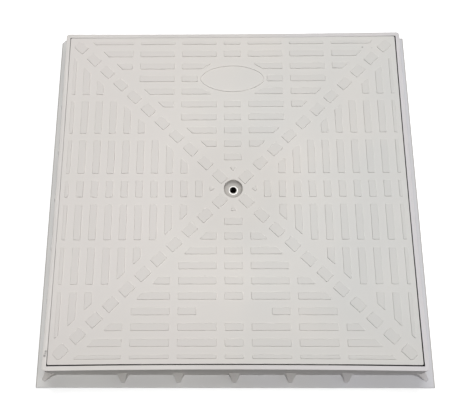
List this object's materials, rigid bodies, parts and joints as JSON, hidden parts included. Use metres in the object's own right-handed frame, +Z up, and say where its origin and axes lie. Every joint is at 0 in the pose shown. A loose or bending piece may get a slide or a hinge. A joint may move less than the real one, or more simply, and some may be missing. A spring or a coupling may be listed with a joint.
{
  "type": "inspection cover",
  "caption": "Square plastic inspection cover with a raised tread and a lifting hole, lying loose in a flanged, gusseted frame.",
  "frame": {"origin": "on the ground, at the middle of the base flange", "axes": "+Z up along the lifting hole, +Y from the front side towards the side with the oval, +X to the right"},
  "size_m": [0.4, 0.4, 0.037],
  "materials": {
    "frame_plastic": "moulded polypropylene, pale grey, matt",
    "cover_plastic": "moulded polypropylene, warm pale grey, matt"
  },
  "bodies": {
    "root": {"frame": "frame_plastic", "cover": "cover_plastic"}
  },
  "joints": []
}
